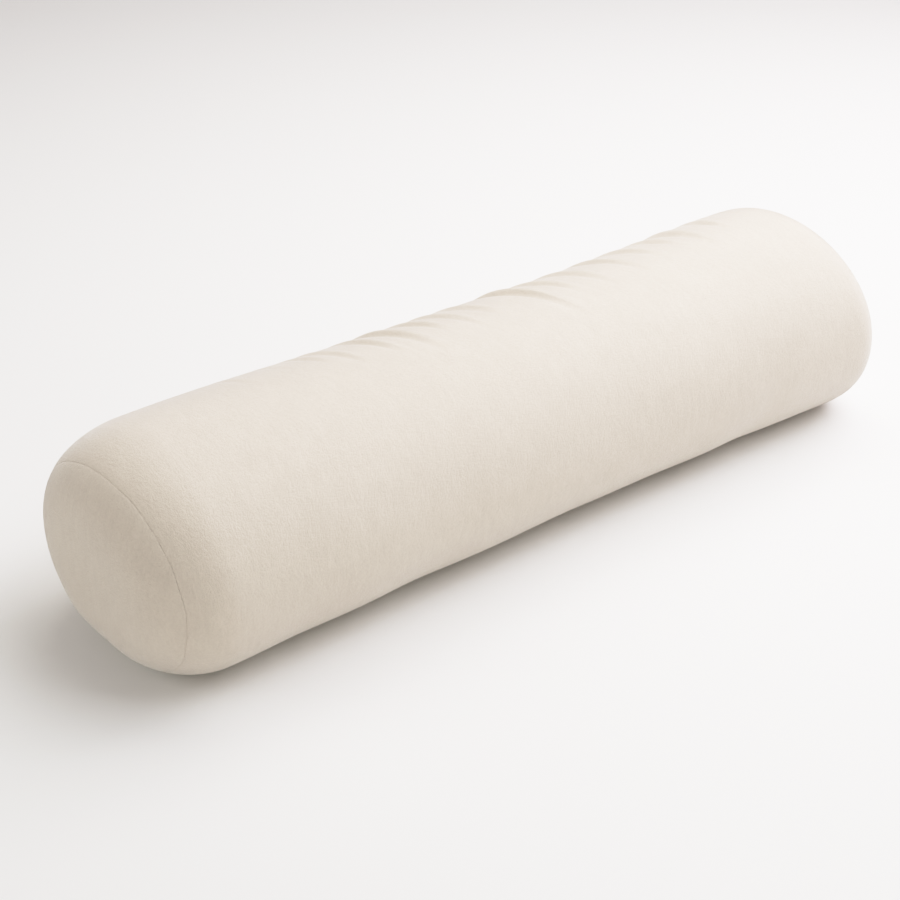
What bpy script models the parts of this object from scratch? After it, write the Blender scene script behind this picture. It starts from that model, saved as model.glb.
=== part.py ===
"""Body pillow: a long round bolster, filled with fibre, lying on a flat surface.

A maker cuts three pieces of the same brushed cloth: one tube panel and two round end panels.
Here the tube panel with its filling is one solid, and each end panel is a thin dome that sits
in a shallow seat of that solid, where it is sewn in. All three start as turned blanks of the
round, freshly filled pillow. One set of formulas then settles them: the pillow spreads
sideways, flattens where it lies, leans at its ends and takes its tension creases.

Metres, +Z up. The long axis runs along X, the near end at -X, the front at -Y. The origin is
on the floor, below the middle of the pillow's box. Angles are in degrees about the long axis,
from 0 at the crown to +90 at the back and -90 at the front.
"""

import math

import bmesh
import bpy
import numpy as np

RADIUS = 0.150            # of the round pillow, before it settles

# How it lies
AXIS_HEIGHT = 0.1300      # the axis above the floor, so the underside is pressed flat
PRESS_SOFTNESS = 0.06     # half the span of depth, over the radius, in which it turns flat
SPREAD = 1.122            # lying width over round width
BELLY_POWER = 2.05        # superellipse power of the lower half; 2 is an ellipse
LEAN_START = 0.420        # distance from the middle at which each end starts to lean
LEAN_REACH = 0.180        # length in which the lean grows to its full amount

# Rounded ends: a superellipse of depth x RADIUS up to the tip, with one power along X and one
# across it; a high power across makes a flatter end. lean_y and lean_z shift the end along X, in
# metres for each metre sideways or upwards.
NEAR_END = dict(side=-1, tip=0.5740, depth=0.1045, along_power=1.88, across_power=5.00,
                lean_y=-0.117, lean_z=0.054)
FAR_END = dict(side=1, tip=0.5995, depth=0.0760, along_power=2.70, across_power=2.45,
               lean_y=-0.101, lean_z=-0.089)

# The round seam of each end panel
SEAM_RADIUS = 0.1334       # mean radius of the seam
SEAM_DROP = 0.0056        # the seam circle sits this much lower than the middle of the end,
SEAM_LEAD = 0.0006        # this much nearer to the front
SEAM_SKEW = 0.0018        # and is this much out of round, from an uneven hand at the machine
SEAM_DIP = 0.0008         # the thread draws both edges in
SEAM_SOFTNESS = 0.0035    # half-width of that dip
PANEL_THICKNESS = 0.003
SEAT_GAP = 0.0003

# Swell of the filling along the pillow, half-heights from the axis: fuller inside both ends
SECTIONS = (
    dict(along=-0.600, crown=0.1476, belly=0.1316),
    dict(along=-0.510, crown=0.1550, belly=0.1506),
    dict(along=-0.360, crown=0.1573, belly=0.1510),
    dict(along=-0.180, crown=0.1524, belly=0.1488),
    dict(along=0.000, crown=0.1493, belly=0.1473),
    dict(along=0.180, crown=0.1469, belly=0.1464),
    dict(along=0.360, crown=0.1488, belly=0.1479),
    dict(along=0.510, crown=0.1508, belly=0.1512),
    dict(along=0.600, crown=0.1468, belly=0.1532),
)

# Soft lumps of the filling low on the front: place, length along X, height (minus is a hollow)
LUMPS = (
    dict(along=-0.300, length=0.050, height=0.0009),
    dict(along=-0.205, length=0.040, height=-0.0012),
    dict(along=-0.090, length=0.055, height=0.0010),
    dict(along=0.035, length=0.045, height=-0.0010),
    dict(along=0.265, length=0.045, height=0.0012),
    dict(along=0.350, length=0.035, height=-0.0011),
)
LUMP_ANGLE = -125.0
LUMP_SPREAD = 45.0

# Tension creases over the back and the crown. Each is a shallow trough with a ridge on its far
# side: where it crosses the crown, the angles it reaches at the front and the back, the degrees
# over which it rises from its front end, the distance from the steepest line to trough and
# ridge, and the height of the ridge.
CREASES = (
    dict(along=-0.308, front=14.0, back=44.0, fade=12.0, width=0.0080, height=0.0010),
    dict(along=-0.243, front=16.0, back=46.0, fade=12.0, width=0.0070, height=0.0007),
    dict(along=-0.203, front=10.0, back=46.0, fade=12.0, width=0.0060, height=0.0013),
    dict(along=-0.176, front=0.0, back=50.0, fade=14.0, width=0.0065, height=0.0016),
    dict(along=-0.125, front=0.0, back=48.0, fade=18.0, width=0.0065, height=0.0023),
    dict(along=-0.084, front=-9.0, back=54.0, fade=30.0, width=0.0085, height=0.0032),
    dict(along=-0.041, front=6.0, back=48.0, fade=14.0, width=0.0065, height=0.0024),
    dict(along=-0.003, front=-2.0, back=52.0, fade=22.0, width=0.0070, height=0.0020),
    dict(along=0.038, front=2.0, back=50.0, fade=18.0, width=0.0080, height=0.0021),
    dict(along=0.115, front=-16.0, back=56.0, fade=36.0, width=0.0090, height=0.0038),
    dict(along=0.160, front=0.0, back=50.0, fade=16.0, width=0.0070, height=0.0022),
    dict(along=0.208, front=-4.0, back=52.0, fade=22.0, width=0.0080, height=0.0023),
    dict(along=0.267, front=-8.0, back=52.0, fade=36.0, width=0.0072, height=0.0026),
    dict(along=0.316, front=4.0, back=50.0, fade=18.0, width=0.0070, height=0.0024),
    dict(along=0.359, front=9.0, back=48.0, fade=12.0, width=0.0058, height=0.0023),
    dict(along=0.395, front=-5.0, back=54.0, fade=30.0, width=0.0085, height=0.0031),
    dict(along=0.443, front=7.0, back=48.0, fade=14.0, width=0.0065, height=0.0022),
    dict(along=0.500, front=10.0, back=44.0, fade=14.0, width=0.0070, height=0.0009),
)
CREASE_SLANT = 0.0011     # a crease shifts this far towards +X for each degree it comes forward
SLANT_FROM = -25.0        # the cloth slants between these two angles and eases back below
SLANT_TO = 85.0
SLANT_FADE = 0.240        # length over which the slant fades beside each shoulder
BACK_FADE = 16.0          # degrees on each side of its back end over which a crease fades

# Fineness of the solids
STEPS_AROUND = 48
SHOULDER_RINGS = 8
DOME_RINGS = 7
LONGEST_GAP = 0.038       # between rings of the tube
SHORTEST_GAP = 0.005

MERGE_DISTANCE = 0.00002
CLOTH_COLOUR = (0.776, 0.733, 0.661, 1.0)
END_COLOUR = (0.752, 0.706, 0.631, 1.0)


def clear_scene():
    """Remove every object that the scene starts with."""
    for item in list(bpy.data.objects):
        bpy.data.objects.remove(item, do_unlink=True)


def ease(low, high, value):
    """Smooth step: 0 at or below low, 1 at or above high."""
    share = np.clip((value - low) / (high - low), 0.0, 1.0)
    return share * share * (3.0 - 2.0 * share)


def column(rows, name):
    """One named column of a table as an array."""
    return np.array([row[name] for row in rows])


def smooth_along(x, places, values):
    """A cubic through the values at the given places, flat beyond the first and the last."""
    slopes = np.gradient(values, places)
    left = np.clip(np.searchsorted(places, x) - 1, 0, len(places) - 2)
    span = places[left + 1] - places[left]
    t = np.clip((x - places[left]) / span, 0.0, 1.0)
    rise = values[left + 1] - values[left]
    bend_left = slopes[left] * span
    bend_right = slopes[left + 1] * span
    square_part = 3.0 * rise - 2.0 * bend_left - bend_right
    cube_part = bend_left + bend_right - 2.0 * rise
    return values[left] + t * (bend_left + t * (square_part + t * cube_part))


# ---- outlines of the round blanks, as (x, r) ---------------------------------------------

def shoulder_start(end):
    """The X at which the straight tube meets the rounded end."""
    return end["side"] * (end["tip"] - end["depth"])


def end_reach(end, share):
    """How far the rounded end stands out of the tube, 0 to 1, at a share of the radius."""
    return (1.0 - share ** end["across_power"]) ** (1.0 / end["along_power"])


def end_point(end, share):
    """The outline of a rounded end at a share of the radius, 1 on the tube and 0 at the tip."""
    x = shoulder_start(end) + end["side"] * end["depth"] * end_reach(end, share)
    return np.array([x, RADIUS * share])


def inward(end, share):
    """The unit direction from the outline into the filling."""
    nudge = 0.002
    if share < nudge:
        return np.array([-end["side"], 0.0])
    along = end_point(end, min(share + nudge, 1.0)) - end_point(end, share - nudge)
    normal = np.array([-along[1], along[0]])
    if normal[1] > 0.0:
        normal = -normal
    return normal / np.linalg.norm(normal)


def seam_dip(end, share):
    """Depth of the soft dip that the seam thread makes, by distance from the seam."""
    away = np.linalg.norm(end_point(end, share) - end_point(end, SEAM_RADIUS / RADIUS))
    return SEAM_DIP * math.exp(-away / SEAM_SOFTNESS)


def sunk_point(end, share, depth):
    """A point of the rounded end, this far below the cloth's outer face."""
    return end_point(end, share) + inward(end, share) * (depth + seam_dip(end, share))


def dome_shares(outermost):
    """Shares of the radius for the rings of an end panel, from the tip out to its rim."""
    steps = np.linspace(0.0, 1.0, DOME_RINGS)
    return outermost * np.sin(steps * math.pi / 2) ** 0.9


def shoulder_shares(innermost):
    """Shares of the radius for the rings of a shoulder, from the seam out to the tube."""
    first_sweep = math.acos(innermost)
    sweeps = first_sweep * np.linspace(1.0, 0.0, SHOULDER_RINGS + 1) ** 1.5
    return np.cos(sweeps)


def end_of_body(end):
    """Half-outline of the filled body at one end: the panel's seat, its wall, the shoulder."""
    wall = (SEAM_RADIUS + SEAT_GAP / 2) / RADIUS
    floor = PANEL_THICKNESS + SEAT_GAP
    seat = [sunk_point(end, share, floor) for share in dome_shares(wall)]
    shoulder = [sunk_point(end, share, 0.0) for share in shoulder_shares(wall)]
    return seat + shoulder


def tube_stations():
    """X of the tube's rings: at each crease's trough, slope and ridge, and between them."""
    marks = [shoulder_start(NEAR_END), shoulder_start(FAR_END)]
    for crease in CREASES:
        for offset in (-crease["width"], 0.0, crease["width"]):
            marks.append(crease["along"] + offset)
    marks.sort()
    stations = [marks[0]]
    for mark in marks[1:]:
        gap = mark - stations[-1]
        if gap < SHORTEST_GAP:
            continue
        parts = math.ceil(gap / LONGEST_GAP)
        if parts == 1 and gap > 0.5 * LONGEST_GAP:
            parts = 2
        start = stations[-1]
        stations.extend(start + gap * part / parts for part in range(1, parts + 1))
    stations[-1] = marks[-1]
    return stations


def body_outline():
    """Half-outline of the filled body from the near tip to the far tip."""
    near = end_of_body(NEAR_END)
    tube = [np.array([x, RADIUS]) for x in tube_stations()[1:-1]]
    far = end_of_body(FAR_END)[::-1]
    return near + tube + far


def panel_outline(end):
    """Half-outline of an end panel: out along its outer face and back along its underside."""
    shares = dome_shares((SEAM_RADIUS - SEAT_GAP / 2) / RADIUS)
    outer = [sunk_point(end, share, 0.0) for share in shares]
    under = [sunk_point(end, share, PANEL_THICKNESS) for share in shares[::-1]]
    return outer + under


def turned_blank(name, outline):
    """Turn a half-outline about the X axis and return the closed mesh."""
    profile = bpy.data.meshes.new(name + "_outline")
    points = [(x, 0.0, max(r, 0.0)) for x, r in outline]
    edges = [(i, i + 1) for i in range(len(points) - 1)]
    profile.from_pydata(points, edges, [])
    blank = bpy.data.objects.new(name + "_blank", profile)
    bpy.context.scene.collection.objects.link(blank)
    screw = blank.modifiers.new("turn", "SCREW")
    screw.axis = "X"
    screw.steps = STEPS_AROUND
    screw.render_steps = STEPS_AROUND
    screw.use_merge_vertices = True
    screw.merge_threshold = MERGE_DISTANCE
    evaluated = blank.evaluated_get(bpy.context.evaluated_depsgraph_get())
    mesh = bpy.data.meshes.new_from_object(evaluated)
    bpy.data.objects.remove(blank, do_unlink=True)
    solid = bmesh.new()
    solid.from_mesh(mesh)
    bmesh.ops.remove_doubles(solid, verts=solid.verts, dist=MERGE_DISTANCE)
    bmesh.ops.recalc_face_normals(solid, faces=solid.faces)
    solid.to_mesh(mesh)
    solid.free()
    mesh.name = name
    return mesh


# ---- settling: from the round blank to the pillow as it lies -----------------------------

def slide_to_seam(x, r, angle):
    """Slide points along a rounded end, so that its seam is lower and a little out of round."""
    turn = np.radians(angle)
    shift = -(SEAM_DROP * np.cos(turn) + SEAM_LEAD * np.sin(turn) + SEAM_SKEW * np.sin(2.0 * turn)) / RADIUS
    seam = SEAM_RADIUS / RADIUS
    share = np.clip(r / RADIUS, 0.0, 1.0)
    inner = (share / seam) ** 2
    outer = (1.0 - share) / (1.0 - seam)
    moved = share + shift * np.minimum(inner, outer)
    x = x.copy()
    for end in (NEAR_END, FAR_END):
        on_end = x * end["side"] > abs(shoulder_start(end))
        step = end_reach(end, moved) - end_reach(end, share)
        x = np.where(on_end, x + end["side"] * end["depth"] * step, x)
    return x, r + RADIUS * (moved - share)


def slant(x, angle):
    """How far the cloth is pulled along X at an angle; nothing on the belly and the ends."""
    rise = np.interp(angle, [SLANT_FROM, SLANT_TO], [-SLANT_FROM, -SLANT_TO])
    belly = 1.0 - ease(SLANT_TO, 180.0, np.abs(angle))
    middle = ease(0.0, SLANT_FADE, x - shoulder_start(NEAR_END))
    middle = middle * ease(0.0, SLANT_FADE, shoulder_start(FAR_END) - x)
    return CREASE_SLANT * rise * belly * middle


def crease_relief(x, angle):
    """Height of the creases: a trough and a ridge on the two sides of each crease line."""
    relief = np.zeros_like(x)
    for crease in CREASES:
        across = (x - crease["along"]) / crease["width"]
        wave = across * np.exp(0.5 - 0.5 * across ** 2)
        front = ease(crease["front"] - 5.0, crease["front"] + crease["fade"], angle)
        back = 1.0 - ease(crease["back"] - BACK_FADE, crease["back"] + BACK_FADE, angle)
        relief += crease["height"] * wave * front * back
    return relief


def lump_relief(x, angle):
    """Height of the soft lumps low on the front."""
    around = np.exp(-((angle - LUMP_ANGLE) / LUMP_SPREAD) ** 2)
    relief = np.zeros_like(x)
    for lump in LUMPS:
        relief += lump["height"] * np.exp(-((x - lump["along"]) / lump["length"]) ** 2)
    return relief * around


def pressed_depth(depth):
    """Depth below the axis, over the radius, once the floor has pressed the underside flat.

    The free skin turns into the flat underside along a parabola.
    """
    floor = AXIS_HEIGHT / RADIUS
    excess = np.clip(depth - floor + PRESS_SOFTNESS, 0.0, 2.0 * PRESS_SOFTNESS)
    return np.minimum(depth - excess ** 2 / (4.0 * PRESS_SOFTNESS), floor)


def settled(points):
    """Move points of the round blank to where they lie on the settled pillow.

    Points nearer to the long axis are pressed up less, so the rounded ends lift off the floor
    and the pieces keep their distance from each other.
    """
    x, r = points[:, 0], np.hypot(points[:, 1], points[:, 2])
    angle = np.degrees(np.arctan2(points[:, 1], points[:, 2]))
    x, r = slide_to_seam(x, r, angle)
    relief = crease_relief(x, angle) + lump_relief(x, angle)
    x = x + slant(x, angle)

    sine, cosine = np.sin(np.radians(angle)), np.cos(np.radians(angle))
    places = column(SECTIONS, "along")
    crown = smooth_along(x, places, column(SECTIONS, "crown"))
    belly = smooth_along(x, places, column(SECTIONS, "belly"))
    upper = 0.5 + 0.5 * np.clip(1.6 * cosine, -1.0, 1.0)
    swell = (crown * upper + belly * (1.0 - upper) + relief) / RADIUS
    power = np.where(cosine < 0.0, BELLY_POWER, 2.0)
    rounding = (np.abs(sine) ** power + np.abs(cosine) ** power) ** (-1.0 / power)
    y = SPREAD * r * swell * rounding * sine
    depth = -swell * rounding * cosine
    z = AXIS_HEIGHT - r * pressed_depth(depth)

    for end in (NEAR_END, FAR_END):
        lean = ease(LEAN_START, LEAN_START + LEAN_REACH, x * end["side"])
        x = x + lean * (end["lean_y"] * y - end["lean_z"] * r * depth)
    return np.column_stack([x, y, z])


def read_points(mesh):
    """The mesh's points as an array of rows."""
    flat = np.empty(len(mesh.vertices) * 3)
    mesh.vertices.foreach_get("co", flat)
    return flat.reshape(-1, 3)


def cloth_material(name, colour):
    """Matte brushed cloth of one colour."""
    material = bpy.data.materials.new(name)
    material.use_nodes = True
    shader = material.node_tree.nodes["Principled BSDF"]
    shader.inputs["Base Color"].default_value = colour
    shader.inputs["Roughness"].default_value = 0.92
    shader.inputs["Metallic"].default_value = 0.0
    return material


def split_faces(mesh):
    """Split every face along its shorter diagonal, so a panel and its seat are split alike."""
    split = bmesh.new()
    split.from_mesh(mesh)
    bmesh.ops.triangulate(split, faces=split.faces, quad_method="SHORT_EDGE")
    split.to_mesh(mesh)
    split.free()


def sewn_piece(name, outline, material, collection):
    """Turn, settle, split and shade one piece."""
    mesh = turned_blank(name, outline)
    mesh.vertices.foreach_set("co", settled(read_points(mesh)).ravel())
    split_faces(mesh)
    mesh.update()
    mesh.shade_smooth()
    mesh.set_sharp_from_angle(angle=math.radians(40.0))
    mesh.materials.clear()
    mesh.materials.append(material)
    piece = bpy.data.objects.new(name, mesh)
    collection.objects.link(piece)
    return piece


def centre_over_origin(pieces):
    """Move all the pieces together, so that the origin is below the middle of their box."""
    points = np.vstack([read_points(piece.data) for piece in pieces])
    middle = (points.min(axis=0) + points.max(axis=0)) / 2
    for piece in pieces:
        moved = read_points(piece.data) - np.array([middle[0], middle[1], 0.0])
        piece.data.vertices.foreach_set("co", moved.ravel())
        piece.data.update()


def main():
    clear_scene()
    pillow = bpy.data.collections.new("body_pillow")
    bpy.context.scene.collection.children.link(pillow)
    tube_cloth = cloth_material("tube_cloth", CLOTH_COLOUR)
    near_cloth = cloth_material("near_end_cloth", END_COLOUR)
    far_cloth = cloth_material("far_end_cloth", END_COLOUR)
    pieces = [
        sewn_piece("tube_body", body_outline(), tube_cloth, pillow),
        sewn_piece("end_panel_near", panel_outline(NEAR_END), near_cloth, pillow),
        sewn_piece("end_panel_far", panel_outline(FAR_END), far_cloth, pillow),
    ]
    centre_over_origin(pieces)


main()
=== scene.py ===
"""Looks of the body pillow: a tube cover and two end panels of soft brushed cloth.

The pillow is a long round bolster that lies on its side. Each piece starts as the outline of
the round, freshly filled pillow, turned about the long axis on a grid. One set of formulas
then settles the grid as the pillow lies: it spreads sideways, flattens underneath, leans at its
ends, and takes its tension creases, lumps and the puckers beside its seams.

Metres, +Z up. The long axis runs along X, the near end at -X, the front at -Y. Angles are in
degrees about the long axis, 0 at the crown, +90 at the back and -90 at the front.
"""

import math

import bpy
import numpy as np
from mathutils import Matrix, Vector


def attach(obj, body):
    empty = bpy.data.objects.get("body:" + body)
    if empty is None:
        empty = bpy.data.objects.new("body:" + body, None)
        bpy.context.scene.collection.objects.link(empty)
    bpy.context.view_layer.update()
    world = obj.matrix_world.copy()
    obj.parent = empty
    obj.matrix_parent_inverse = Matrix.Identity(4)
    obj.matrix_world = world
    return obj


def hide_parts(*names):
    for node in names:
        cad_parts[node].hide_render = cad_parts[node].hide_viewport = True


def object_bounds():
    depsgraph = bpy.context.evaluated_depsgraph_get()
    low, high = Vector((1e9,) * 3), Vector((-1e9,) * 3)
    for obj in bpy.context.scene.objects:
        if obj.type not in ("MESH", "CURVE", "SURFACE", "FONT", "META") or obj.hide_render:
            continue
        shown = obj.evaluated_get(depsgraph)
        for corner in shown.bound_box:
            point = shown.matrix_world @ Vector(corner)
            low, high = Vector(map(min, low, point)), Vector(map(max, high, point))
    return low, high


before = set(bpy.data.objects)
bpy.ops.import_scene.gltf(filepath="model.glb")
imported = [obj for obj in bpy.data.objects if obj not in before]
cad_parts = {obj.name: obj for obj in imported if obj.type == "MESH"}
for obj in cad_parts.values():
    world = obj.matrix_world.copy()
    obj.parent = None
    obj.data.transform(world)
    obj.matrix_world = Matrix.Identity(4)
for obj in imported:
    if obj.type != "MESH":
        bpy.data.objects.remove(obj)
cad_box = [list(corner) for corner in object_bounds()]

RADIUS = 0.150            # of the round pillow, before it settles

# How it lies
AXIS_HEIGHT = 0.1300      # the axis above the floor, so the underside is pressed flat
PRESS_SOFTNESS = 0.06     # half the span of depth, over the radius, in which it turns flat
SPREAD = 1.122            # lying width over round width
BELLY_POWER = 2.05        # superellipse power of the lower half; 2 is an ellipse
SIDE_BLEND = 1.6          # how quickly the crown's swell turns into the belly's at the sides
LEAN_START = 0.420        # distance from the middle at which each end starts to lean
LEAN_REACH = 0.180        # length in which the lean grows to its full amount

# Rounded ends: a superellipse of depth x RADIUS up to the tip, with one power along X and one
# across it; a high power across makes a flatter end. lean_y and lean_z shift the end along X, in
# metres for each metre sideways or upwards.
NEAR_END = dict(side=-1, tip=0.5740, depth=0.1045, along_power=1.88, across_power=5.00,
                lean_y=-0.117, lean_z=0.054)
FAR_END = dict(side=1, tip=0.5995, depth=0.0760, along_power=2.70, across_power=2.45,
               lean_y=-0.101, lean_z=-0.089)

# The round seam of each end panel
SEAM_RADIUS = 0.1334      # on the round pillow
SEAM_DROP = 0.0056        # how far the seam sits too low
SEAM_LEAD = 0.0006        # how far it sits towards the front
SEAM_SKEW = 0.0018        # how far it is out of round
SEAM_WANDER = 0.00016     # how far each quick wave takes the stitched line to and fro
SEAM_WAVES = (            # count round the seam, and start in radians
    dict(count=7, start=0.4),
    dict(count=12, start=2.1),
    dict(count=19, start=4.4),
)
SEAM_DIP = 0.00035        # depth of the soft dip at the thread
SEAM_SOFTNESS = 0.0016    # distance in which the dip fades
PANEL_THICKNESS = 0.003
SEAT_GAP = 0.00015        # between a panel and the tube's seat

# Swell of the filling along the pillow, half-heights from the axis
SECTIONS = (
    dict(along=-0.600, crown=0.1476, belly=0.1316),
    dict(along=-0.510, crown=0.1550, belly=0.1506),
    dict(along=-0.360, crown=0.1573, belly=0.1510),
    dict(along=-0.180, crown=0.1524, belly=0.1488),
    dict(along=0.000, crown=0.1493, belly=0.1473),
    dict(along=0.180, crown=0.1469, belly=0.1464),
    dict(along=0.360, crown=0.1488, belly=0.1479),
    dict(along=0.510, crown=0.1508, belly=0.1512),
    dict(along=0.600, crown=0.1468, belly=0.1532),
)

# Soft lumps of the filling low on the front: place, length along X, height (minus is a hollow).
# Round the pillow, all of them fade from LUMP_ANGLE within LUMP_SPREAD degrees.
LUMPS = (
    dict(along=-0.300, length=0.050, height=0.0009),
    dict(along=-0.205, length=0.040, height=-0.0012),
    dict(along=-0.090, length=0.055, height=0.0010),
    dict(along=0.035, length=0.045, height=-0.0010),
    dict(along=0.265, length=0.045, height=0.0012),
    dict(along=0.350, length=0.035, height=-0.0011),
)
LUMP_ANGLE = -125.0
LUMP_SPREAD = 45.0

# Tension creases over the back and the crown: where each crosses the crown, the angles it
# reaches at the front and the back, the degrees over which it rises from its front end, its
# width from the middle to the trough and to the ridge, and the ridge's height
CREASES = (
    dict(along=-0.308, front=14.0, back=44.0, fade=12.0, width=0.0080, height=0.0010),
    dict(along=-0.243, front=16.0, back=46.0, fade=12.0, width=0.0070, height=0.0007),
    dict(along=-0.203, front=10.0, back=46.0, fade=12.0, width=0.0060, height=0.0013),
    dict(along=-0.176, front=0.0, back=50.0, fade=14.0, width=0.0065, height=0.0016),
    dict(along=-0.125, front=0.0, back=48.0, fade=18.0, width=0.0065, height=0.0023),
    dict(along=-0.084, front=-9.0, back=54.0, fade=30.0, width=0.0085, height=0.0032),
    dict(along=-0.041, front=6.0, back=48.0, fade=14.0, width=0.0065, height=0.0024),
    dict(along=-0.003, front=-2.0, back=52.0, fade=22.0, width=0.0070, height=0.0020),
    dict(along=0.038, front=2.0, back=50.0, fade=18.0, width=0.0080, height=0.0021),
    dict(along=0.115, front=-16.0, back=56.0, fade=36.0, width=0.0090, height=0.0038),
    dict(along=0.160, front=0.0, back=50.0, fade=16.0, width=0.0070, height=0.0022),
    dict(along=0.208, front=-4.0, back=52.0, fade=22.0, width=0.0080, height=0.0023),
    dict(along=0.267, front=-8.0, back=52.0, fade=36.0, width=0.0072, height=0.0026),
    dict(along=0.316, front=4.0, back=50.0, fade=18.0, width=0.0070, height=0.0024),
    dict(along=0.359, front=9.0, back=48.0, fade=12.0, width=0.0058, height=0.0023),
    dict(along=0.395, front=-5.0, back=54.0, fade=30.0, width=0.0085, height=0.0031),
    dict(along=0.443, front=7.0, back=48.0, fade=14.0, width=0.0065, height=0.0022),
    dict(along=0.500, front=10.0, back=44.0, fade=14.0, width=0.0070, height=0.0009),
)
CREASE_NARROWING = 0.72   # the thin cloth takes every crease narrower than its row says,
CREASE_LIFT = 1.05        # a little higher,
CREASE_STOP = 14.0        # and this many degrees shorter at the back
FRONT_LEAD = 5.0          # degrees before its front end at which a crease starts to rise
BACK_FADE = 12.0          # degrees on each side of its back end in which it fades
CREASE_SLANT = 0.0011     # a crease shifts this far towards +X for each degree it comes forward
SLANT_FROM = -25.0        # the slant stays the same below this angle
SLANT_TO = 85.0           # and fades from this angle round to the belly
SLANT_FADE = 0.240        # length in which it fades towards each end

# Fine unevenness of the cloth over the filling: waves of random length and direction
RIPPLE_SEED = 11
RIPPLE_WAVES = 34
RIPPLE_SHORTEST = 0.050
RIPPLE_LONGEST = 0.260
RIPPLE_HEIGHT = 0.00005   # of the longest wave; shorter ones are lower in proportion

# Puckers that the seam thread pulls beside each end seam: waves round it, height, and the
# distance from it in which they fade
PUCKER_WAVES = (52, 33, 75, 15)
PUCKER_HEIGHT = 0.00007
PUCKER_REACH = 0.012

# Fineness of the cloth
COLUMNS = 160             # points in a ring
TUBE_PITCH = 0.0022       # between rings along the straight tube
SHOULDER_RINGS = 34
SEAT_RINGS = 8
DOME_RINGS = 44
RIM_CROWDING = 0.9        # power that spaces a panel's rings, closer at the rim when lower
OUTLINE_NUDGE = 0.002     # share of the radius by which the outline's direction is measured

# The cloth
IVORY = (0.655, 0.584, 0.508)

# Its nap, in brushed bands, streaks and short hairs: features a metre across the nap and along
# it, finer layers in the noise and how much each adds, the tone that the noise adds or takes
# away, and its height in the bump
NAP = (
    dict(across=150.0, along=26.0, layers=3.0, fineness=0.6, tone=0.022, height=0.0),
    dict(across=420.0, along=170.0, layers=3.0, fineness=0.6, tone=0.014, height=0.55),
    dict(across=1500.0, along=420.0, layers=2.0, fineness=0.6, tone=0.0, height=0.35),
)

# Its grain, in nubs, tufts, mottling and clouds, the same in every direction: features a metre,
# and the rest as for the nap
GRAIN = (
    dict(scale=700.0, layers=2.0, fineness=0.6, tone=0.028, height=0.80),
    dict(scale=300.0, layers=2.0, fineness=0.6, tone=0.034, height=0.70),
    dict(scale=26.0, layers=3.0, fineness=0.55, tone=0.016, height=0.0),
    dict(scale=7.0, layers=2.0, fineness=0.5, tone=0.012, height=0.0),
)
BUMP_STRENGTH = 0.48
BUMP_DISTANCE = 0.0016

# Square softboxes: degrees round the pillow and above the floor, distance from its middle,
# side, watts, and colour
SOFTBOXES = (
    dict(name="front_softbox", azimuth=45.0, height=60.0, distance=2.4, size=1.6,
         power=42.4, colour=(0.989, 0.989, 1.0)),
    dict(name="back_softbox", azimuth=135.0, height=65.0, distance=2.4, size=1.8,
         power=32.0, colour=(1.0, 0.975, 0.905)),
    dict(name="side_softbox", azimuth=90.0, height=40.0, distance=2.4, size=1.6,
         power=32.8, colour=(1.0, 0.922, 0.964)),
    dict(name="low_fill", azimuth=-120.0, height=20.0, distance=3.0, size=1.6,
         power=20.6, colour=(0.975, 1.0, 0.950)),
    dict(name="front_fill", azimuth=-30.0, height=18.0, distance=3.0, size=1.2,
         power=12.0, colour=(0.950, 1.0, 0.820)),
)

# The room and the floor
ROOM_COLOUR = (1.0, 0.885, 0.862, 1.0)
ROOM_STRENGTH = 0.29
FLOOR_COLOUR = (0.86, 0.86, 0.86, 1.0)
FLOOR_HALF = 40.0
FLOOR_LEVEL = -0.0004     # a hair below the underside, so the two never share a plane

# Camera: degrees round the pillow and above the floor, distance from the point it looks at
VIEW_AZIMUTH = -35.54
VIEW_HEIGHT = 33.92
VIEW_DISTANCE = 2.483
VIEW_AIM = (0.0316, 0.1349, -0.0084)
LENS = 69.0

# Shown tones: linear light above the knee bends towards white
KNEE = 0.5
BRIGHTEST = 4.0
KNEE_POINTS = 30


def ease(low, high, value):
    """Smooth step: 0 at or below low, 1 at or above high, 3t^2 - 2t^3 between."""
    share = np.clip((value - low) / (high - low), 0.0, 1.0)
    return share * share * (3.0 - 2.0 * share)


def column(rows, name):
    """One named column of a table as an array."""
    return np.array([row[name] for row in rows])


def smooth_along(x, places, values):
    """A cubic through the values at the given places, flat beyond the first and the last."""
    slopes = np.gradient(values, places)
    left = np.clip(np.searchsorted(places, x) - 1, 0, len(places) - 2)
    span = places[left + 1] - places[left]
    t = np.clip((x - places[left]) / span, 0.0, 1.0)
    rise = values[left + 1] - values[left]
    bend_left = slopes[left] * span
    bend_right = slopes[left + 1] * span
    square_part = 3.0 * rise - 2.0 * bend_left - bend_right
    cube_part = bend_left + bend_right - 2.0 * rise
    return values[left] + t * (bend_left + t * (square_part + t * cube_part))


# ---- outlines of the round pieces, as rows of (x, r) --------------------------------------

def shoulder_start(end):
    """The X at which the straight tube meets the rounded end."""
    return end["side"] * (end["tip"] - end["depth"])


def end_reach(end, share):
    """How far the rounded end stands out of the tube: (1 - share^across)^(1 / along)."""
    return (1.0 - share ** end["across_power"]) ** (1.0 / end["along_power"])


def end_line(end, share):
    """Points of the rounded end's outline at shares of the radius, as rows of (x, r)."""
    x = shoulder_start(end) + end["side"] * end["depth"] * end_reach(end, share)
    return np.column_stack([x, RADIUS * share])


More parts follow.
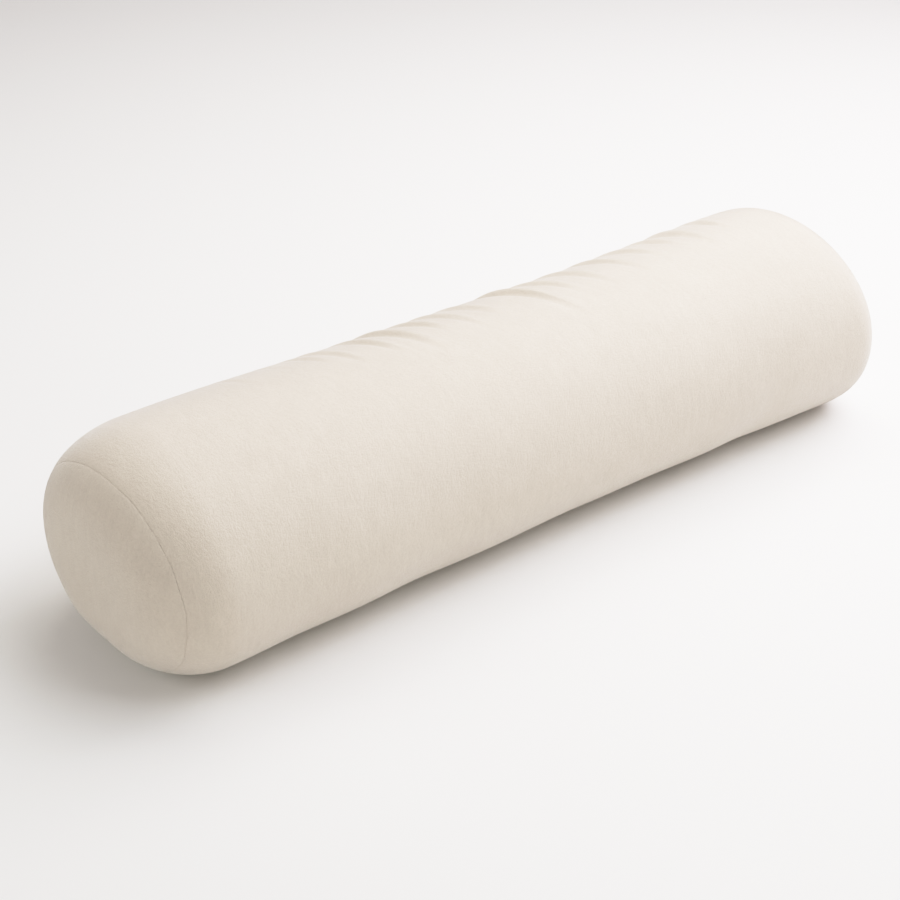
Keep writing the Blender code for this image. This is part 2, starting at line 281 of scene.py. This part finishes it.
def sunk_line(end, share, depth):
    """The outline this far below the cloth's outer face, with the soft dip at the seam.

    The inward direction is square to the outline. The dip fades with distance from the seam
    as exp(-distance / softness).
    """
    ahead = end_line(end, np.minimum(share + OUTLINE_NUDGE, 1.0))
    behind = end_line(end, np.maximum(share - OUTLINE_NUDGE, 0.0))
    along = ahead - behind
    inward = np.column_stack([-along[:, 1], along[:, 0]])
    inward *= np.where(inward[:, 1] > 0.0, -1.0, 1.0)[:, None]
    inward[share < OUTLINE_NUDGE] = (-end["side"], 0.0)
    inward /= np.linalg.norm(inward, axis=1)[:, None]
    seam = end_line(end, np.array([SEAM_RADIUS / RADIUS]))
    away = np.linalg.norm(end_line(end, share) - seam, axis=1)
    dip = SEAM_DIP * np.exp(-away / SEAM_SOFTNESS)
    return end_line(end, share) + inward * (depth + dip)[:, None]


def dome_shares(outermost, rings):
    """Shares of the radius from the tip of an end panel out to its rim, closer at the rim."""
    steps = np.linspace(0.0, 1.0, rings)
    return outermost * np.sin(steps * math.pi / 2) ** RIM_CROWDING


def shoulder_shares(innermost):
    """Shares of the radius from the seam out to the tube, closer at both."""
    steps = ease(0.0, 1.0, np.linspace(1.0, 0.0, SHOULDER_RINGS + 1))
    return np.cos(math.acos(innermost) * steps)


def tube_outline():
    """Outline of the tube cover: seat, shoulder, tube, shoulder, seat."""
    wall = (SEAM_RADIUS + SEAT_GAP / 2) / RADIUS
    floor = PANEL_THICKNESS + SEAT_GAP
    ends = []
    for end in (NEAR_END, FAR_END):
        seat = sunk_line(end, dome_shares(wall, SEAT_RINGS), np.full(SEAT_RINGS, floor))
        shares = shoulder_shares(wall)
        shoulder = sunk_line(end, shares, np.zeros(len(shares)))
        ends.append(np.vstack([seat, shoulder]))
    start, stop = shoulder_start(NEAR_END), shoulder_start(FAR_END)
    x = np.linspace(start, stop, round((stop - start) / TUBE_PITCH) + 1)[1:-1]
    tube = np.column_stack([x, np.full(len(x), RADIUS)])
    return np.vstack([ends[0], tube, ends[1][::-1]])


def panel_outline(end):
    """Outline of an end panel: out along its outer face and back along its underside."""
    shares = dome_shares((SEAM_RADIUS - SEAT_GAP / 2) / RADIUS, DOME_RINGS)
    outer = sunk_line(end, shares, np.zeros(DOME_RINGS))
    under = sunk_line(end, shares[::-1], np.full(DOME_RINGS, PANEL_THICKNESS))
    return np.vstack([outer, under])


# ---- settling: from the round pillow to the pillow as it lies ------------------------------

def slide_to_seam(x, r, angle):
    """Slide points along a rounded end, so that its seam is lower and a little out of round.

    The slide is a cosine and a sine of the angle plus a sine of twice the angle, largest at
    the seam and nothing at the tip and on the tube. Three quicker waves make the stitched line
    wander a little.
    """
    turn = np.radians(angle)
    drop = SEAM_DROP * np.cos(turn) + SEAM_LEAD * np.sin(turn) + SEAM_SKEW * np.sin(2.0 * turn)
    for wave in SEAM_WAVES:
        drop = drop + SEAM_WANDER * np.cos(wave["count"] * turn + wave["start"])
    shift = -drop / RADIUS
    seam = SEAM_RADIUS / RADIUS
    share = np.clip(r / RADIUS, 0.0, 1.0)
    moved = share + shift * np.minimum((share / seam) ** 2, (1.0 - share) / (1.0 - seam))
    for end in (NEAR_END, FAR_END):
        on_end = x * end["side"] > abs(shoulder_start(end))
        step = end_reach(end, moved) - end_reach(end, share)
        x = np.where(on_end, x + end["side"] * end["depth"] * step, x)
    return x, r + RADIUS * (moved - share)


def slant(x, angle):
    """How far the cloth is pulled along X at an angle; nothing on the belly and the ends."""
    rise = np.interp(angle, [SLANT_FROM, SLANT_TO], [-SLANT_FROM, -SLANT_TO])
    belly = 1.0 - ease(SLANT_TO, 180.0, np.abs(angle))
    middle = ease(0.0, SLANT_FADE, x - shoulder_start(NEAR_END))
    middle = middle * ease(0.0, SLANT_FADE, shoulder_start(FAR_END) - x)
    return CREASE_SLANT * rise * belly * middle


def crease_relief(x, angle):
    """Height of the creases: t * exp((1 - t^2) / 2) across each, a trough and a ridge."""
    relief = np.zeros_like(x)
    for crease in CREASES:
        across = (x - crease["along"]) / (crease["width"] * CREASE_NARROWING)
        wave = across * np.exp(0.5 - 0.5 * across ** 2)
        front = ease(crease["front"] - FRONT_LEAD, crease["front"] + crease["fade"], angle)
        stop = crease["back"] - CREASE_STOP
        back = 1.0 - ease(stop - BACK_FADE, stop + BACK_FADE, angle)
        relief += crease["height"] * CREASE_LIFT * wave * front * back
    return relief


def lump_relief(x, angle):
    """Height of the soft lumps low on the front: a bell along X times a bell round it."""
    around = np.exp(-((angle - LUMP_ANGLE) / LUMP_SPREAD) ** 2)
    relief = np.zeros_like(x)
    for lump in LUMPS:
        relief += lump["height"] * np.exp(-((x - lump["along"]) / lump["length"]) ** 2)
    return relief * around


def ripple_relief(x, angle):
    """Slight unevenness of the filling: a sum of waves over the skin, in random directions.

    Each wave goes a whole number of times round the pillow, so the skin closes.
    """
    draw = np.random.default_rng(RIPPLE_SEED)
    turn = np.radians(angle)
    relief = np.zeros_like(x)
    for _ in range(RIPPLE_WAVES):
        size = draw.uniform(RIPPLE_SHORTEST, RIPPLE_LONGEST)
        heading = draw.uniform(0.0, math.pi)
        along = 2.0 * math.pi * math.cos(heading) / size
        around = round(2.0 * math.pi * RADIUS * math.sin(heading) / size)
        phase = draw.uniform(0.0, 2.0 * math.pi)
        relief += size / RIPPLE_LONGEST * np.cos(along * x + around * turn + phase)
    return RIPPLE_HEIGHT * relief


def pucker_relief(x, r, angle):
    """Small puckers beside the end seams: a sum of cosines round the seam, from random starts.

    They fade with distance from the seam as exp(-(distance / reach)^2).
    """
    draw = np.random.default_rng(RIPPLE_SEED + 1)
    turn = np.radians(angle)
    waves = np.zeros_like(x)
    for count in PUCKER_WAVES:
        waves += np.cos(count * turn + draw.uniform(0.0, 2.0 * math.pi))
    relief = np.zeros_like(x)
    for end in (NEAR_END, FAR_END):
        seam = end_line(end, np.array([SEAM_RADIUS / RADIUS]))[0]
        away = np.hypot(x - seam[0], r - seam[1])
        relief += np.exp(-((away / PUCKER_REACH) ** 2))
    return PUCKER_HEIGHT * waves * relief


def pressed_depth(depth):
    """Depth below the axis, over the radius, once the floor has pressed the underside flat.

    The free skin turns into the flat underside along a parabola.
    """
    floor = AXIS_HEIGHT / RADIUS
    excess = np.clip(depth - floor + PRESS_SOFTNESS, 0.0, 2.0 * PRESS_SOFTNESS)
    return np.minimum(depth - excess ** 2 / (4.0 * PRESS_SOFTNESS), floor)


def settled(outline):
    """Turn an outline about X and settle it: a grid of points, one row a ring.

    Each section is an ellipse whose lower half is a superellipse. It is scaled to the swell of
    the filling and the relief, pressed flat underneath and moved up by the axis height. Points
    nearer to the long axis are pressed up less, so the rounded ends lift off the floor.
    """
    turns = np.linspace(-180.0, 180.0, COLUMNS, endpoint=False)
    x = np.repeat(outline[:, :1], COLUMNS, axis=1)
    r = np.repeat(np.maximum(outline[:, 1:], 0.0), COLUMNS, axis=1)
    angle = np.repeat(turns[None, :], len(outline), axis=0)
    relief = crease_relief(x, angle) + lump_relief(x, angle)
    relief = relief + ripple_relief(x, angle) * r / RADIUS + pucker_relief(x, r, angle)
    x, r = slide_to_seam(x, r, angle)
    x = x + slant(x, angle)

    sine, cosine = np.sin(np.radians(angle)), np.cos(np.radians(angle))
    places = column(SECTIONS, "along")
    crown = smooth_along(x, places, column(SECTIONS, "crown"))
    belly = smooth_along(x, places, column(SECTIONS, "belly"))
    upper = 0.5 + 0.5 * np.clip(SIDE_BLEND * cosine, -1.0, 1.0)
    swell = (crown * upper + belly * (1.0 - upper) + relief) / RADIUS
    power = np.where(cosine < 0.0, BELLY_POWER, 2.0)
    rounding = (np.abs(sine) ** power + np.abs(cosine) ** power) ** (-1.0 / power)
    y = SPREAD * r * swell * rounding * sine
    depth = -swell * rounding * cosine
    z = AXIS_HEIGHT - r * pressed_depth(depth)

    for end in (NEAR_END, FAR_END):
        lean = ease(LEAN_START, LEAN_START + LEAN_REACH, x * end["side"])
        x = x + lean * (end["lean_y"] * y - end["lean_z"] * r * depth)
    return np.stack([x, y, z], axis=-1)


# ---- meshes --------------------------------------------------------------------------------

def skin_mesh(name, rings, outline):
    """A closed mesh from a grid of rings whose first and last ring are a single point each.

    The UV map "cloth" is in metres on the flat cloth: along the outline, and round the pillow.
    """
    rows, columns = rings.shape[:2]
    points = np.vstack([rings[0, 0][None], rings[1:-1].reshape(-1, 3), rings[-1, 0][None]])
    number = 1 + np.arange((rows - 2) * columns).reshape(rows - 2, columns)
    after = np.roll(number, -1, axis=1)
    quads = np.stack([number[:-1], after[:-1], after[1:], number[1:]], axis=-1).reshape(-1, 4)
    first = np.stack([np.zeros(columns, int), after[0], number[0]], axis=-1)
    last = np.stack([np.full(columns, len(points) - 1), number[-1], after[-1]], axis=-1)
    faces = first.tolist() + quads.tolist() + last.tolist()
    mesh = bpy.data.meshes.new(name)
    mesh.from_pydata(points.tolist(), [], faces)

    steps = np.linalg.norm(np.diff(outline, axis=0), axis=1)
    u = np.concatenate([[0.0], np.cumsum(steps)])
    v = np.arange(columns + 1) * (2.0 * math.pi * RADIUS / columns)
    grid_u = np.repeat(u[1:-1, None], columns + 1, axis=1)
    grid_v = np.repeat(v[None, :], rows - 2, axis=0)
    flat = np.stack([grid_u, grid_v], axis=-1)
    quad_uv = np.stack([flat[:-1, :-1], flat[:-1, 1:], flat[1:, 1:], flat[1:, :-1]], axis=2)
    middle = 0.5 * (v[:-1] + v[1:])
    tip_first = np.stack([np.full(columns, u[0]), middle], axis=-1)
    tip_last = np.stack([np.full(columns, u[-1]), middle], axis=-1)
    first_uv = np.stack([tip_first, flat[0, 1:], flat[0, :-1]], axis=1)
    last_uv = np.stack([tip_last, flat[-1, :-1], flat[-1, 1:]], axis=1)
    loops = [first_uv.reshape(-1, 2), quad_uv.reshape(-1, 2), last_uv.reshape(-1, 2)]
    layer = mesh.uv_layers.new(name="cloth")
    layer.data.foreach_set("uv", np.vstack(loops).astype(np.float32).ravel())
    mesh.shade_smooth()
    mesh.update()
    return mesh


def cloth_piece(name, rings, outline, material):
    """A finished piece of cloth at the origin, turned the right way out."""
    mesh = skin_mesh(name, rings, outline)
    mesh.materials.append(material)
    piece = bpy.data.objects.new(name, mesh)
    bpy.context.scene.collection.objects.link(piece)
    return piece


# ---- material ------------------------------------------------------------------------------

class Finish:
    """A material's node tree, with short calls that add and link its nodes."""

    def __init__(self, name):
        self.material = bpy.data.materials.new(name)
        self.material.use_nodes = True
        self.tree = self.material.node_tree
        self.shader = self.tree.nodes["Principled BSDF"]

    def node(self, kind, **settings):
        made = self.tree.nodes.new(kind)
        for key, value in settings.items():
            setattr(made, key, value)
        return made

    def link(self, source, target):
        self.tree.links.new(source, target)

    def stretched(self, coordinates, scale):
        """Coordinates multiplied by a scale along each axis."""
        mapping = self.node("ShaderNodeMapping", vector_type="POINT")
        mapping.inputs["Scale"].default_value = scale
        self.link(coordinates, mapping.inputs["Vector"])
        return mapping.outputs["Vector"]

    def noise(self, coordinates, scale, row, dimensions="3D"):
        """Noise between 0 and 1, with features about 1 / scale metres across."""
        made = self.node("ShaderNodeTexNoise", noise_dimensions=dimensions)
        made.inputs["Scale"].default_value = scale
        made.inputs["Detail"].default_value = row["layers"]
        made.inputs["Roughness"].default_value = row["fineness"]
        self.link(coordinates, made.inputs["Vector"])
        return made.outputs["Fac"]

    def spread(self, value, amount):
        """The middle of a noise's range, 0.3 to 0.7, as a change from -amount to +amount."""
        made = self.node("ShaderNodeMapRange")
        made.inputs["From Min"].default_value = 0.3
        made.inputs["From Max"].default_value = 0.7
        made.inputs["To Min"].default_value = -amount
        made.inputs["To Max"].default_value = amount
        self.link(value, made.inputs["Value"])
        return made.outputs["Result"]

    def math(self, operation, first, second):
        """An arithmetic node; either value may be a number."""
        made = self.node("ShaderNodeMath", operation=operation)
        for index, value in enumerate((first, second)):
            if isinstance(value, (int, float)):
                made.inputs[index].default_value = value
            else:
                self.link(value, made.inputs[index])
        return made.outputs["Value"]


def cloth_patterns(finish, flat_end):
    """The nap and the grain of the cloth, as pairs of a noise and its row in the tables.

    The nap lies round the tube, and upright on a flat end.
    """
    cloth_uv = finish.node("ShaderNodeUVMap", uv_map="cloth").outputs["UV"]
    place = finish.node("ShaderNodeTexCoord").outputs["Object"]
    patterns = []
    for row in NAP:
        across, along = row["across"], row["along"]
        if flat_end:
            stretched = finish.stretched(place, (along, across, along))
            noise = finish.noise(stretched, 1.0, row)
        else:
            stretched = finish.stretched(cloth_uv, (across, along, 1.0))
            noise = finish.noise(stretched, 1.0, row, "2D")
        patterns.append((noise, row))
    for row in GRAIN:
        patterns.append((finish.noise(place, row["scale"], row), row))
    return patterns


def brushed_cloth(name, flat_end=False):
    """Matte brushed ivory cloth: a colour varied by the sum of the patterns' tones, a bump from
    the sum of their heights, and sheen from the raised fibres."""
    finish = Finish(name)
    tone, height = 1.0, 0.0
    for noise, row in cloth_patterns(finish, flat_end):
        if row["tone"]:
            tone = finish.math("ADD", finish.spread(noise, row["tone"]), tone)
        if row["height"]:
            height = finish.math("ADD", finish.math("MULTIPLY", noise, row["height"]), height)

    base = finish.node("ShaderNodeVectorMath", operation="SCALE")
    base.inputs[0].default_value = IVORY
    finish.link(tone, base.inputs["Scale"])
    finish.link(base.outputs["Vector"], finish.shader.inputs["Base Color"])

    bump = finish.node("ShaderNodeBump")
    bump.inputs["Strength"].default_value = BUMP_STRENGTH
    bump.inputs["Distance"].default_value = BUMP_DISTANCE
    finish.link(height, bump.inputs["Height"])
    finish.link(bump.outputs["Normal"], finish.shader.inputs["Normal"])

    finish.shader.inputs["Roughness"].default_value = 0.93
    finish.shader.inputs["Specular IOR Level"].default_value = 0.18
    finish.shader.inputs["Sheen Weight"].default_value = 0.70
    finish.shader.inputs["Sheen Roughness"].default_value = 0.34
    finish.shader.inputs["Sheen Tint"].default_value = (1.0, 1.0, 1.0, 1.0)
    return finish.material


# ---- the pillow ----------------------------------------------------------------------------

def make_pillow():
    """The tube cover and the two end panels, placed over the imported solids."""
    tube_cloth = brushed_cloth("brushed_cloth")
    end_cloth = brushed_cloth("brushed_end_cloth", flat_end=True)
    outlines = {
        "tube_cover": tube_outline(),
        "near_panel_cloth": panel_outline(NEAR_END),
        "far_panel_cloth": panel_outline(FAR_END),
    }
    grids = {name: settled(outline) for name, outline in outlines.items()}
    everything = np.vstack([grid.reshape(-1, 3) for grid in grids.values()])
    own_middle = 0.5 * (everything.min(axis=0) + everything.max(axis=0))
    cad_middle = 0.5 * (np.array(cad_box[0]) + np.array(cad_box[1]))
    shift = np.array([cad_middle[0] - own_middle[0], cad_middle[1] - own_middle[1], 0.0])
    pieces = {}
    for name, outline in outlines.items():
        rings = grids[name] + shift
        if name == "far_panel_cloth":
            rings, outline = rings[::-1], outline[::-1]     # so that its faces point outwards
        cloth = tube_cloth if name == "tube_cover" else end_cloth
        pieces[name] = cloth_piece(name, rings, outline, cloth)
    return pieces


def floor_material():
    """Plain pale floor."""
    finish = Finish("pale_floor")
    finish.shader.inputs["Base Color"].default_value = FLOOR_COLOUR
    finish.shader.inputs["Roughness"].default_value = 0.9
    finish.shader.inputs["Specular IOR Level"].default_value = 0.1
    return finish.material


def make_stage():
    """The floor that the pillow lies on."""
    mesh = bpy.data.meshes.new("floor")
    half = FLOOR_HALF
    outline = [(-half, -half), (half, -half), (half, half), (-half, half)]
    corners = [(x, y, FLOOR_LEVEL) for x, y in outline]
    mesh.from_pydata(corners, [], [(0, 1, 2, 3)])
    mesh.materials.append(floor_material())
    floor = bpy.data.objects.new("floor", mesh)
    bpy.context.scene.collection.objects.link(floor)


def direction(azimuth, height):
    """Unit vector towards a place round the pillow; azimuth 0 is in front, 90 at +X."""
    a, e = math.radians(azimuth), math.radians(height)
    return Vector((math.sin(a) * math.cos(e), -math.cos(a) * math.cos(e), math.sin(e)))


def area_light(name, azimuth, height, distance, size, power, colour):
    """A square softbox that faces the pillow."""
    light = bpy.data.lights.new(name, "AREA")
    light.energy = power
    light.size = size
    light.color = colour
    lamp = bpy.data.objects.new(name, light)
    lamp.location = direction(azimuth, height) * distance
    lamp.rotation_euler = (-direction(azimuth, height)).to_track_quat("-Z", "Y").to_euler()
    bpy.context.scene.collection.objects.link(lamp)


def make_lights():
    """A pale room, three softboxes above the far end, and two low fills beside the near end."""
    world = bpy.data.worlds.new("studio")
    world.use_nodes = True
    background = world.node_tree.nodes["Background"]
    background.inputs["Color"].default_value = ROOM_COLOUR
    background.inputs["Strength"].default_value = ROOM_STRENGTH
    bpy.context.scene.world = world
    for softbox in SOFTBOXES:
        area_light(**softbox)


def make_camera():
    """The camera, in front of the near end and above it."""
    camera = bpy.data.cameras.new("camera")
    camera.sensor_width = 36.0
    camera.lens = LENS
    camera.clip_end = 100.0
    holder = bpy.data.objects.new("camera", camera)
    back = direction(VIEW_AZIMUTH, VIEW_HEIGHT)
    holder.location = Vector(VIEW_AIM) + back * VIEW_DISTANCE
    holder.rotation_euler = (-back).to_track_quat("-Z", "Y").to_euler()
    bpy.context.scene.collection.objects.link(holder)
    bpy.context.scene.camera = holder


def soften_highlights():
    """Bend the brightest tones softly towards white, as a print does.

    Linear light stays as it is up to the knee. Above it, with s = 1 - knee, it is shown as
    knee + s * (1 - exp((knee - light) / s)).
    """
    view = bpy.context.scene.view_settings
    view.view_transform = "Standard"
    view.use_curve_mapping = True
    mapping = view.curve_mapping
    mapping.extend = "HORIZONTAL"
    mapping.clip_max_x = BRIGHTEST
    light = np.linspace(KNEE, BRIGHTEST, KNEE_POINTS)
    span = 1.0 - KNEE
    shown = KNEE + span * (1.0 - np.exp((KNEE - light) / span))
    for curve in mapping.curves[:3]:
        curve.points[1].location = (light[-1], shown[-1])
        for x, y in zip(light[:-1], shown[:-1]):
            curve.points.new(x, y)
        for point in curve.points:
            point.handle_type = "VECTOR"
    mapping.update()


pieces = make_pillow()
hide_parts("tube_body")
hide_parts("end_panel_near")
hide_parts("end_panel_far")
for piece in pieces.values():
    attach(piece, "root")

make_stage()
make_lights()
make_camera()
soften_highlights()
